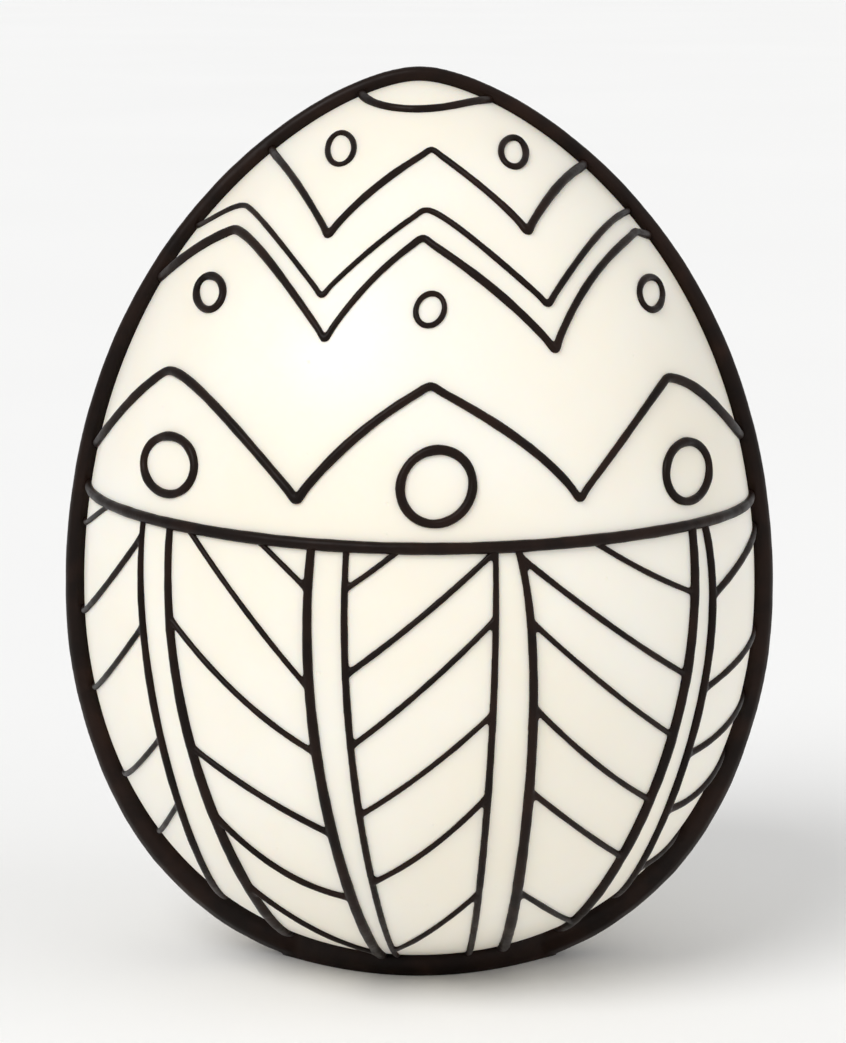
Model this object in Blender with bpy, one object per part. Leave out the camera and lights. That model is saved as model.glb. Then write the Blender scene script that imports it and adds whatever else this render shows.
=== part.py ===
"""A white chocolate egg, moulded in two halves and decorated with piped dark chocolate.

Metres, +Z up. The front is at -Y, and the origin is under the tip, on the surface that the egg stands on.
Angles go round the egg in degrees: 0 at the front, 90 at +X, 180 at the back.
"""

import math
from typing import NamedTuple

import bmesh
import bpy
from mathutils import Vector

# Shell: two cubic curves, from the tip to the widest place and from there to the base
SHELL_RADIUS = 0.0519
SHELL_TOP = 0.1372
SHELL_BOTTOM = 0.0021
WIDEST_HEIGHT = 0.0592
TIP_SPREAD = 0.24
SHOULDER_RISE = 0.70
FLANK_DROP = 0.49
BASE_SPREAD = 0.70
SIDES_ROUND = 40
STEPS_UP = 11
STEPS_DOWN = 9
FINE_STEPS = 120

# Border: a rope piped over the seam, in the XZ plane. How far it stands out, from the tip to the base
BORDER_AT_TIP = 0.0022
BORDER_AT_SIDE = 0.0032
BORDER_AT_FLANK = 0.0037
BORDER_AT_BASE = 0.0059
FLANK_HEIGHT = 0.0350
BORDER_ROUNDNESS = 0.6
BORDER_SIDES = 8
BORDER_END_HEIGHT = 0.0043
FLOOR_GAP = 0.0001

# Foot: a puddle of the same chocolate, which set flat under the egg and narrows to where the rope comes in
FOOT_HALF_LENGTH = 0.0216
FOOT_HALF_WIDTH = 0.0122
FOOT_NARROWING = 2.1
FOOT_BULGE = 0.0008
FOOT_LAP = 0.0004
FOOT_CORE_SHARE = 0.5
FOOT_CORE_HEIGHT = 0.0062
FOOT_BULGE_STEPS = 4
FOOT_SIDES = 28

# Piped lines: the ridge's form as shares of its width, and how finely it is built
LINE_RISE = 0.60
LINE_CREST = 0.55
LINE_SPREAD = 1.35
FLAT_CREST_FROM = 0.00115
ROOT_DEPTH = 0.0009
STEP_LENGTH = 0.0092
CURVE_STEPS = 40
CIRCLE_STEPS_LEAST = 16
SMALL_RING_STEPS = 8
LARGE_RING_STEPS = 12
LARGE_RING_FROM = 0.0030
SEAM_ANGLE = 90.0

# The back repeats the front by hand, so it strays a little
STRAY_ANGLE = 2.0
STRAY_HEIGHT = 0.0008
STRAY_WAVES_UP = 1.5
STRAY_WAVES_ROUND = 3

WHITE_CHOCOLATE = (0.86, 0.78, 0.60, 1.0)
DARK_CHOCOLATE = (0.020, 0.010, 0.006, 1.0)
WHITE_ROUGHNESS = 0.35
DARK_ROUGHNESS = 0.30
SHARP_EDGE_DEGREES = 30
MERGE_DISTANCE = 1e-6
ROUNDING_SLACK = 1e-9


class Circle(NamedTuple):
    """A line round the egg: its height at the front, four terms in the sine of the angle, and its width."""

    height: float
    lift: float
    droop: float
    tilt: float
    twist: float
    width: float
    narrowing: float


class Rib(NamedTuple):
    """A line from the belt to the foot or to the seam, bent by a pull on its way."""

    top: tuple
    pull: tuple
    end: tuple


class Panel(NamedTuple):
    """Veins between two ribs, or a rib and the seam: each one's two end heights, its sag and its width."""

    left: Rib | None
    right: Rib | None
    veins: tuple


class Ring(NamedTuple):
    """A piped oval, by its centre, its half width and half height, and how far it rises to the right."""

    across: float
    height: float
    half_width: float
    half_height: float
    rise: float
    line: float


BELT = Circle(0.07330, 0.00183, -0.00071, -0.00036, -0.00049, 0.0019, 0.18)
CAP = Circle(0.13330, 0.00227, -0.00099, 0.00018, -0.00061, 0.0014, 0.0)

# The front as it is seen level from the front. Each point is (across, height, width of the line), and a line
# ends at the seam where it would pass the side of the shell. A row of zigzags is a corner, the pull that
# bends the leg, the next corner and so on
ZIGZAGS = (
    (
        (-0.0230, 0.1269, 0.00125),
        (-0.0190, 0.1254, 0.00113),
        (-0.0132, 0.1161, 0.00102),
        (-0.0075, 0.1229, 0.00140),
        (0.0019, 0.1279, 0.00098),
        (0.0114, 0.1216, 0.00111),
        (0.0158, 0.1165, 0.00125),
        (0.0215, 0.1251, 0.00160),
        (0.0260, 0.1243, 0.00150),
    ),
    (
        (-0.0339, 0.1149, 0.00095),
        (-0.0282, 0.1189, 0.00095),
        (-0.0264, 0.1192, 0.00085),
        (-0.0248, 0.1203, 0.00082),
        (-0.0141, 0.1079, 0.00077),
        (-0.0062, 0.1156, 0.00077),
        (0.0008, 0.1197, 0.00086),
        (0.0034, 0.1201, 0.00096),
        (0.0187, 0.1065, 0.00096),
        (0.0284, 0.1197, 0.00115),
        (0.0325, 0.1170, 0.00100),
    ),
    (
        (-0.0401, 0.1062, 0.00175),
        (-0.0336, 0.1133, 0.00210),
        (-0.0272, 0.1159, 0.00155),
        (-0.0238, 0.1157, 0.00140),
        (-0.0135, 0.1020, 0.00095),
        (-0.0073, 0.1111, 0.00092),
        (0.0005, 0.1159, 0.00108),
        (0.0120, 0.1090, 0.00156),
        (0.0196, 0.1003, 0.00115),
        (0.0244, 0.1115, 0.00117),
        (0.0325, 0.1148, 0.00130),
        (0.0357, 0.1136, 0.00160),
        (0.0386, 0.1100, 0.00160),
    ),
    (
        (-0.0504, 0.0802, 0.00150),
        (-0.0436, 0.0910, 0.00170),
        (-0.0374, 0.0955, 0.00140),
        (-0.0340, 0.0979, 0.00150),
        (-0.0175, 0.0797, 0.00138),
        (-0.0096, 0.0900, 0.00160),
        (0.0016, 0.0958, 0.00122),
        (0.0175, 0.0877, 0.00160),
        (0.0230, 0.0795, 0.00105),
        (0.0360, 0.0950, 0.00120),
        (0.0366, 0.0948, 0.00145),
        (0.0423, 0.0938, 0.00200),
        (0.0509, 0.0803, 0.00160),
    ),
)

RIBS = (
    Rib((-0.0404, 0.0747, 0.00086), (-0.0432, 0.0520, 0.00160), (-0.0297, 0.0109, 0.00135)),
    Rib((-0.0362, 0.0744, 0.00113), (-0.0390, 0.0431, 0.00190), (-0.0189, 0.0045, 0.00195)),
    Rib((-0.0153, 0.0735, 0.00125), (-0.0187, 0.0440, 0.00178), (-0.0053, 0.0032, 0.00170)),
    Rib((-0.0103, 0.0734, 0.00090), (-0.0123, 0.0437, 0.00132), (-0.0031, 0.0032, 0.00082)),
    Rib((0.0109, 0.0732, 0.00080), (0.0115, 0.0479, 0.00122), (0.0074, 0.0033, 0.00100)),
    Rib((0.0140, 0.0733, 0.00097), (0.0195, 0.0556, 0.00150), (0.0125, 0.0036, 0.00185)),
    Rib((0.0399, 0.0736, 0.00150), (0.0435, 0.0429, 0.00200), (0.0210, 0.0061, 0.00185)),
    Rib((0.0419, 0.0736, 0.00130), (0.0477, 0.0517, 0.00180), (0.0296, 0.0107, 0.00125)),
)

PANELS = (
    Panel(
        None,
        RIBS[0],
        (
            (0.0695, 0.0791, -0.0011, 0.00080),
            (0.0558, 0.0719, 0.0001, 0.00094),
            (0.0439, 0.0588, 0.0, 0.00086),
            (0.0305, 0.0420, 0.0001, 0.00080),
            (0.0214, 0.0315, -0.0002, 0.00080),
        ),
    ),
    Panel(
        RIBS[1],
        RIBS[2],
        (
            (0.0838, 0.0670, -0.0004, 0.00078),
            (0.0775, 0.0526, 0.0006, 0.00081),
            (0.0608, 0.0429, 0.0016, 0.00090),
            (0.0416, 0.0300, 0.0005, 0.00098),
            (0.0310, 0.0189, 0.0023, 0.00106),
            (0.0188, 0.0058, 0.0011, 0.00105),
        ),
    ),
    Panel(
        RIBS[3],
        RIBS[4],
        (
            (0.0673, 0.0856, 0.0010, 0.00078),
            (0.0549, 0.0728, 0.0004, 0.00088),
            (0.0442, 0.0631, 0.0005, 0.00083),
            (0.0334, 0.0492, 0.0006, 0.00078),
            (0.0219, 0.0365, 0.0011, 0.00084),
            (0.0070, 0.0199, 0.0003, 0.00081),
        ),
    ),
    Panel(
        RIBS[5],
        RIBS[6],
        (
            (0.0847, 0.0637, 0.0012, 0.00081),
            (0.0718, 0.0516, 0.0002, 0.00088),
            (0.0626, 0.0425, 0.0002, 0.00078),
            (0.0500, 0.0325, 0.0006, 0.00084),
            (0.0370, 0.0231, -0.0001, 0.00089),
            (0.0197, 0.0100, -0.0005, 0.00089),
        ),
    ),
    Panel(
        RIBS[7],
        None,
        (
            (0.0624, 0.0687, 0.0002, 0.00118),
            (0.0484, 0.0527, 0.0002, 0.00104),
            (0.0385, 0.0425, 0.0007, 0.00110),
            (0.0296, 0.0334, 0.0012, 0.00118),
            (0.0191, 0.0212, 0.0005, 0.00110),
        ),
    ),
)

RINGS = (
    Ring(-0.0116, 0.1278, 0.00196, 0.00212, 0.11, 0.00085),
    Ring(0.0140, 0.1272, 0.00186, 0.00193, -0.10, 0.00103),
    Ring(-0.0308, 0.1071, 0.00207, 0.00227, 0.13, 0.00120),
    Ring(0.0016, 0.1062, 0.00206, 0.00216, 0.15, 0.00078),
    Ring(0.0344, 0.1065, 0.00185, 0.00216, -0.17, 0.00105),
    Ring(-0.0365, 0.0827, 0.00394, 0.00407, 0.10, 0.00135),
    Ring(0.0025, 0.0819, 0.00516, 0.00513, 0.06, 0.00140),
    Ring(0.0394, 0.0813, 0.00343, 0.00420, -0.10, 0.00135),
)


def clear_scene():
    """Removes whatever the scene holds."""
    for obj in list(bpy.data.objects):
        bpy.data.objects.remove(obj, do_unlink=True)


def chocolate(name, colour, roughness):
    """A plain chocolate finish."""
    material = bpy.data.materials.new(name)
    material.use_nodes = True
    shader = material.node_tree.nodes["Principled BSDF"]
    shader.inputs["Base Color"].default_value = colour
    shader.inputs["Roughness"].default_value = roughness
    shader.inputs["Metallic"].default_value = 0.0
    return material


def blend(start, end, share):
    """The value a share of the way from start to end."""
    return start + (end - start) * share


def cubic(points, steps):
    """Points along one cubic curve with four control points, both ends included."""
    found = []
    for step in range(steps + 1):
        t = step / steps
        weights = ((1 - t) ** 3, 3 * t * (1 - t) ** 2, 3 * t**2 * (1 - t), t**3)
        found.append(tuple(sum(w * p[axis] for w, p in zip(weights, points)) for axis in (0, 1)))
    return found


def shell_profile(steps_up, steps_down):
    """(radius, height) of the shell from its tip down to the middle of its base."""
    shoulder = WIDEST_HEIGHT + SHOULDER_RISE * (SHELL_TOP - WIDEST_HEIGHT)
    flank = WIDEST_HEIGHT - FLANK_DROP * (WIDEST_HEIGHT - SHELL_BOTTOM)
    widest = (SHELL_RADIUS, WIDEST_HEIGHT)
    upper = ((0, SHELL_TOP), (TIP_SPREAD * SHELL_RADIUS, SHELL_TOP), (SHELL_RADIUS, shoulder), widest)
    lower = (widest, (SHELL_RADIUS, flank), (BASE_SPREAD * SHELL_RADIUS, SHELL_BOTTOM), (0, SHELL_BOTTOM))
    return cubic(upper, steps_up) + cubic(lower, steps_down)[1:]


FINE_PROFILE = shell_profile(FINE_STEPS, FINE_STEPS)


def radius_and_slope(height):
    """The shell's radius at a height, and the outward normal (across, up) there."""
    for (r0, z0), (r1, z1) in zip(FINE_PROFILE, FINE_PROFILE[1:]):
        if z1 <= height:
            break
    share = min(max((z0 - height) / (z0 - z1), 0.0), 1.0)
    length = math.hypot(r1 - r0, z1 - z0)
    return blend(r0, r1, share), ((z0 - z1) / length, (r1 - r0) / length)


def on_shell(angle, height):
    """The point of the shell at an angle and a height, and the outward normal there."""
    radius, (across, up) = radius_and_slope(height)
    turn = math.radians(angle)
    outward = Vector((math.sin(turn), -math.cos(turn), 0))
    return outward * radius + Vector((0, 0, height)), outward * across + Vector((0, 0, up))


def turned_solid(name, profile, material):
    """A closed solid turned from (radius, height) points that start and end on the axis."""
    bm = bmesh.new()
    verts = [bm.verts.new((radius, 0, height)) for radius, height in profile]
    edges = [bm.edges.new(pair) for pair in zip(verts, verts[1:])]
    bmesh.ops.spin(bm, geom=verts + edges, axis=(0, 0, 1), angle=math.tau, steps=SIDES_ROUND, use_merge=True)
    bmesh.ops.remove_doubles(bm, verts=bm.verts, dist=MERGE_DISTANCE)
    return finish_object(bm, name, material)


def swept_solid(name, rings, closed, material):
    """A solid swept by extruding one outline from ring to ring, with flat ends or joined into a loop."""
    bm = bmesh.new()
    face = bm.faces.new([bm.verts.new(point) for point in rings[0]])
    for ring in rings[1:] + rings[:1] if closed else rings[1:]:
        face = bmesh.ops.extrude_discrete_faces(bm, faces=[face])["faces"][0]
        for vert, point in zip(face.verts, ring):
            vert.co = point
    if closed:
        bmesh.ops.delete(bm, geom=[face], context="FACES_ONLY")
        bmesh.ops.remove_doubles(bm, verts=bm.verts, dist=MERGE_DISTANCE)
    else:
        bmesh.ops.holes_fill(bm, edges=bm.edges, sides=0)
    return finish_object(bm, name, material)


def finish_object(bm, name, material):
    """Turns the faces outwards and makes the object."""
    bmesh.ops.recalc_face_normals(bm, faces=bm.faces)
    mesh = bpy.data.meshes.new(name)
    bm.to_mesh(mesh)
    bm.free()
    mesh.materials.append(material)
    obj = bpy.data.objects.new(name, mesh)
    bpy.context.scene.collection.objects.link(obj)
    return obj


def line_rings(path, closed):
    """Outlines of a piped line at each (angle, height, width) of its path, mitred where the path turns."""
    places = [on_shell(angle, height) for angle, height, _ in path]
    widths = [width for _, _, width in path]
    flat_crest = sum(widths) / len(widths) >= FLAT_CREST_FROM
    rings = []
    for index, ((point, normal), width) in enumerate(zip(places, widths)):
        before = places[index - 1][0]
        after = places[(index + 1) % len(places)][0]
        if index == 0 and not closed:
            before = point * 2 - after
        if index == len(places) - 1 and not closed:
            after = point * 2 - before
        leaving = (after - point).normalized()
        along = ((point - before).normalized() + leaving).normalized()
        side = along.cross(normal).normalized()
        half = side * (width / 2 / along.dot(leaving))
        top = point + normal * (LINE_RISE * width)
        root = point - normal * ROOT_DEPTH
        spread = half * LINE_SPREAD
        crest = half * LINE_CREST
        tops = [top - crest, top + crest] if flat_crest else [top]
        rings.append([root - spread, *tops, root + spread])
    return rings


def spaced(path):
    """A path of (angle, height, width) stations resampled to about one station every STEP_LENGTH."""
    points = [on_shell(angle, height)[0] for angle, height, _ in path]
    reach = [0.0]
    for before, after in zip(points, points[1:]):
        reach.append(reach[-1] + (after - before).length)
    count = max(1, round(reach[-1] / STEP_LENGTH))
    found = []
    for step in range(count + 1):
        goal = reach[-1] * step / count
        index = max(i for i in range(len(path) - 1) if reach[i] <= goal + ROUNDING_SLACK)
        share = (goal - reach[index]) / (reach[index + 1] - reach[index])
        found.append(tuple(blend(a, b, share) for a, b in zip(path[index], path[index + 1])))
    return found


def bend(start, pull, end):
    """Points of a curve between two points, bent towards a third."""
    found = []
    for step in range(CURVE_STEPS + 1):
        t = step / CURVE_STEPS
        weights = ((1 - t) ** 2, 2 * t * (1 - t), t**2)
        columns = zip(start, pull, end)
        found.append(tuple(sum(w * value for w, value in zip(weights, column)) for column in columns))
    return found


def onto_shell(points):
    """Turns front-view points into (angle, height, width) stations. Only an end may lie on the seam."""
    path = []
    for across, height, width in points:
        share = across / radius_and_slope(height)[0]
        path.append((math.degrees(math.asin(min(max(share, -1.0), 1.0))), height, width))
    while len(path) > 1 and abs(path[1][0]) >= SEAM_ANGLE:
        del path[0]
    while len(path) > 1 and abs(path[-2][0]) >= SEAM_ANGLE:
        del path[-1]
    return path


def zigzag_path(points):
    """The stations of a zigzag row, with one at each of its corners."""
    legs = [spaced(onto_shell(bend(*points[i : i + 3]))) for i in range(0, len(points) - 2, 2)]
    return legs[0] + [station for leg in legs[1:] for station in leg[1:]]


def rib_path(rib):
    """The stations of a rib, from inside the belt."""
    return spaced(onto_shell(bend(rib.top, rib.pull, rib.end)))


def side_of_panel(rib, seam_side, height):
    """How far across a panel's side is at a height. Above the belt a rib runs on straight."""
    if rib is None:
        return seam_side * radius_and_slope(height)[0]
    points = bend(rib.top, rib.pull, rib.end)
    for (x0, z0, _), (x1, z1, _) in zip(points, points[1:]):
        if z1 <= height:
            break
    return blend(x0, x1, (height - z0) / (z1 - z0))


def vein_path(panel, left_height, right_height, sag, width):
    """The stations of a vein between its panel's sides. One that would start above the belt starts at it."""
    left = (side_of_panel(panel.left, -1, left_height), left_height, width)
    right = (side_of_panel(panel.right, 1, right_height), right_height, width)
    pull = (blend(left[0], right[0], 0.5), blend(left[1], right[1], 0.5) - 2 * sag, width)
    path = onto_shell(bend(left, pull, right))
    return spaced([station for station in path if station[1] <= circle_height(BELT, station[0])])


def circle_height(circle, angle):
    """The height of a line round the egg at an angle."""
    aside = math.sin(math.radians(angle))
    even = circle.height + circle.lift * aside**2 + circle.droop * aside**4
    return even + circle.tilt * aside + circle.twist * aside**3


def circle_path(circle):
    """The stations of a line round the egg, which narrows towards the seam."""
    radius = radius_and_slope(circle_height(circle, SEAM_ANGLE))[0]
    count = max(CIRCLE_STEPS_LEAST, round(math.tau * radius / STEP_LENGTH))
    path = []
    for step in range(count):
        angle = 360 * step / count
        share = 1 - circle.narrowing * math.sin(math.radians(angle)) ** 4
        path.append((angle, circle_height(circle, angle), circle.width * share))
    return path


def ring_path(ring):
    """The stations of a piped oval."""
    count = SMALL_RING_STEPS if ring.half_width < LARGE_RING_FROM else LARGE_RING_STEPS
    points = []
    for step in range(count):
        turn = math.tau * step / count
        aside = ring.half_width * math.cos(turn)
        height = ring.height + ring.half_height * math.sin(turn) + ring.rise * aside
        points.append((ring.across + aside, height, ring.line))
    return onto_shell(points)


def line(name, path, closed, material):
    """One piped line."""
    return swept_solid(name, line_rings(path, closed), closed, material)


def to_back(path):
    """The same line on the back, where the hand strays in slow waves, and not at all on the seam."""
    found = []
    for angle, height, width in path:
        facing = math.cos(math.radians(angle))
        turn = STRAY_ANGLE * math.sin(STRAY_WAVES_UP * math.tau * height / SHELL_TOP)
        lift = STRAY_HEIGHT * math.sin(STRAY_WAVES_ROUND * math.radians(angle))
        found.append((180 - angle - turn * facing, height + lift * facing, width))
    return found


def border_reach(height):
    """How far the border stands out from the shell at a height."""
    marks = (
        (SHELL_TOP, BORDER_AT_TIP),
        (WIDEST_HEIGHT, BORDER_AT_SIDE),
        (FLANK_HEIGHT, BORDER_AT_FLANK),
        (SHELL_BOTTOM, BORDER_AT_BASE),
    )
    for (high, reach_high), (low, reach_low) in zip(marks, marks[1:]):
        if height >= low:
            break
    reach = blend(reach_low, reach_high, (height - low) / (high - low))
    return min(reach, height - FLOOR_GAP)


def border_ring(angle, height):
    """The round outline of the border at one place of the seam."""
    point, normal = on_shell(angle, height)
    reach = border_reach(height)
    radius = BORDER_ROUNDNESS * reach
    centre = point + normal * (reach - radius)
    aside = Vector((0, 1, 0))
    turns = [math.tau * step / BORDER_SIDES for step in range(BORDER_SIDES)]
    return [centre + (normal * math.cos(turn) + aside * math.sin(turn)) * radius for turn in turns]


def border(material):
    """The rope over the seam, from the foot up one side, over the tip and down the other."""
    heights = [height for _, height in shell_profile(STEPS_UP, STEPS_DOWN)[1:] if height > BORDER_END_HEIGHT]
    heights.append(BORDER_END_HEIGHT)
    stations = [(-SEAM_ANGLE, height) for height in reversed(heights)]
    stations += [(-SEAM_ANGLE, SHELL_TOP)]
    stations += [(SEAM_ANGLE, height) for height in heights]
    return swept_solid("border", [border_ring(*station) for station in stations], False, material)


def underside_height(radius):
    """The height of the shell's underside at a distance from the axis."""
    for (r0, z0), (r1, z1) in zip(FINE_PROFILE[::-1], FINE_PROFILE[-2::-1]):
        if r1 >= radius:
            break
    return blend(z0, z1, (radius - r0) / (r1 - r0))


def foot(material):
    """The flat puddle under the egg, pointed at both ends, with a round lip that laps up to the shell."""
    outline = []
    for side in range(FOOT_SIDES):
        turn = math.tau * side / FOOT_SIDES
        ahead = math.copysign(abs(math.cos(turn)) ** FOOT_NARROWING, math.cos(turn))
        outline.append(Vector((FOOT_HALF_LENGTH * math.sin(turn), -FOOT_HALF_WIDTH * ahead, 0)))
    rings = []
    for step in range(FOOT_BULGE_STEPS + 1):
        turn = math.pi * step / FOOT_BULGE_STEPS
        rise = (1 - math.cos(turn)) / 2
        bulge = FOOT_BULGE * math.sin(turn)
        ring = []
        for point in outline:
            lip = underside_height(point.length) + FOOT_LAP
            ring.append(point + point.normalized() * bulge + Vector((0, 0, lip * rise)))
        rings.append(ring)
    rings.append([point * FOOT_CORE_SHARE + Vector((0, 0, FOOT_CORE_HEIGHT)) for point in outline])
    return swept_solid("foot", rings, False, material)


def piped_lines(material):
    """Every line of the decoration, front and back."""
    lines = [
        line("belt", circle_path(BELT), True, material),
        line("cap", circle_path(CAP), True, material),
    ]
    drawn = [("zigzag", zigzag_path(points), False) for points in ZIGZAGS]
    drawn += [("rib", rib_path(rib), False) for rib in RIBS]
    drawn += [("ring", ring_path(ring), True) for ring in RINGS]
    drawn += [("vein", vein_path(panel, *vein), False) for panel in PANELS for vein in panel.veins]
    for name, path, closed in drawn:
        lines.append(line(name, path, closed, material))
        lines.append(line(name, to_back(path), closed, material))
    return lines


def fuse(body, pieces):
    """Joins the pieces to the body with one Boolean union, applies it and removes them."""
    group = bpy.data.collections.new("piping")
    bpy.context.scene.collection.children.link(group)
    for piece in pieces:
        bpy.context.scene.collection.objects.unlink(piece)
        group.objects.link(piece)
    union = body.modifiers.new("union", "BOOLEAN")
    union.operation = "UNION"
    union.operand_type = "COLLECTION"
    union.collection = group
    union.solver = "EXACT"
    union.material_mode = "TRANSFER"
    bpy.context.view_layer.objects.active = body
    bpy.ops.object.modifier_apply(modifier=union.name)
    for piece in pieces:
        bpy.data.objects.remove(piece, do_unlink=True)
    bpy.data.collections.remove(group)


def main():
    clear_scene()
    white = chocolate("white_chocolate", WHITE_CHOCOLATE, WHITE_ROUGHNESS)
    dark = chocolate("dark_chocolate", DARK_CHOCOLATE, DARK_ROUGHNESS)
    egg = turned_solid("egg", shell_profile(STEPS_UP, STEPS_DOWN), white)
    fuse(egg, [border(dark), foot(dark), *piped_lines(dark)])
    egg.data.shade_smooth()
    egg.data.set_sharp_from_angle(angle=math.radians(SHARP_EDGE_DEGREES))


main()
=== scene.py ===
"""Looks of a white chocolate egg with piped dark chocolate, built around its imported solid.

Metres, +Z up. The front is at -Y, and the origin is under the tip, on the surface that the egg stands on.
Angles go round the egg in degrees: 0 at the front, 90 at +X, 180 at the back. The pattern is drawn in front
view, in points (across, height, width of the line), and laid onto the shell from there.
"""

import logging
import math
import random
from abc import ABC, abstractmethod
from dataclasses import dataclass, field
from enum import Enum
from functools import cached_property
from typing import NamedTuple

import bpy
import numpy as np
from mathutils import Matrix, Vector


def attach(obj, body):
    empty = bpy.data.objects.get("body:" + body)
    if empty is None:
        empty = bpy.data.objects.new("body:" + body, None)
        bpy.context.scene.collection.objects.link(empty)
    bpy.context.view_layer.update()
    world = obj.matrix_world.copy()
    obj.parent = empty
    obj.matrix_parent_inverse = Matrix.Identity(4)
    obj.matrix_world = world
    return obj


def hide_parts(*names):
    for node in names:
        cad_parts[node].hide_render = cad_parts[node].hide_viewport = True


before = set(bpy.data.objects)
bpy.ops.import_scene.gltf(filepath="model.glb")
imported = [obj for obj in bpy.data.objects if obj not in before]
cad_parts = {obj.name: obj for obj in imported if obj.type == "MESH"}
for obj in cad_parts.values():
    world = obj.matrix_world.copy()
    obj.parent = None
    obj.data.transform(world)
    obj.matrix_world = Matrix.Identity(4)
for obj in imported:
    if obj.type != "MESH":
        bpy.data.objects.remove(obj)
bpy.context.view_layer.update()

LOG = logging.getLogger("egg")
NODE = "egg"
BODY = "root"
SEAM_ANGLE = 90.0
MERGE_DISTANCE = 1e-6
NOISE_SPAN = (0.3, 0.7)
Colour = tuple[float, float, float, float]
Range = tuple[float, float]


class Slot(Enum):
    """The record's material slots."""

    WHITE = "white_chocolate"
    DARK = "dark_chocolate"


class Corner(Enum):
    """How a line turns at a corner: smoothing passes, share of the tip that stays, extra share of width."""

    PEAK = (4, 0.8, 0.0)
    VALLEY = (1, 1.0, 0.05)


def blend(start: float, end: float, share: float) -> float:
    """Gives the value a share of the way from start to end."""
    return start + (end - start) * share


def deselect_all() -> None:
    """Deselects every object, so that an operator acts only on what is made next."""
    bpy.ops.object.select_all(action="DESELECT")


def apply_modifier(obj: bpy.types.Object, kind: str, **settings: object) -> None:
    """Adds a modifier to the active object, sets it and applies it.

    Args:
        obj: The active object.
        kind: The modifier's type.
        settings: Its settings, by name.
    """
    bpy.ops.object.modifier_add(type=kind)
    modifier = obj.modifiers[-1]
    for name, value in settings.items():
        setattr(modifier, name, value)
    bpy.ops.object.modifier_apply(modifier=modifier.name)


def turned(name: str, profile: list[tuple[float, float]], steps: int) -> bpy.types.Object:
    """Extrudes a profile point by point and spins it round the Z axis.

    Args:
        name: The new object's name.
        profile: (radius, height) points that start and end on the axis.
        steps: The number of steps round.

    Returns:
        A closed mesh object with its faces outwards.
    """
    deselect_all()
    bpy.ops.mesh.primitive_plane_add(size=1.0)
    obj = bpy.context.object
    obj.name = name
    bpy.ops.object.mode_set(mode="EDIT")
    bpy.ops.mesh.merge(type="CENTER")
    first = Vector((profile[0][0], 0, profile[0][1]))
    bpy.ops.transform.translate(value=first)
    for (r0, z0), (r1, z1) in zip(profile, profile[1:]):
        bpy.ops.mesh.extrude_vertices_move(TRANSFORM_OT_translate={"value": (r1 - r0, 0, z1 - z0)})
    bpy.ops.mesh.select_all(action="SELECT")
    bpy.ops.mesh.spin(steps=steps, angle=math.tau, center=(0, 0, 0), axis=(0, 0, 1))
    bpy.ops.mesh.select_all(action="SELECT")
    bpy.ops.mesh.remove_doubles(threshold=MERGE_DISTANCE)
    bpy.ops.mesh.normals_make_consistent(inside=False)
    bpy.ops.object.mode_set(mode="OBJECT")
    return obj


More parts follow.
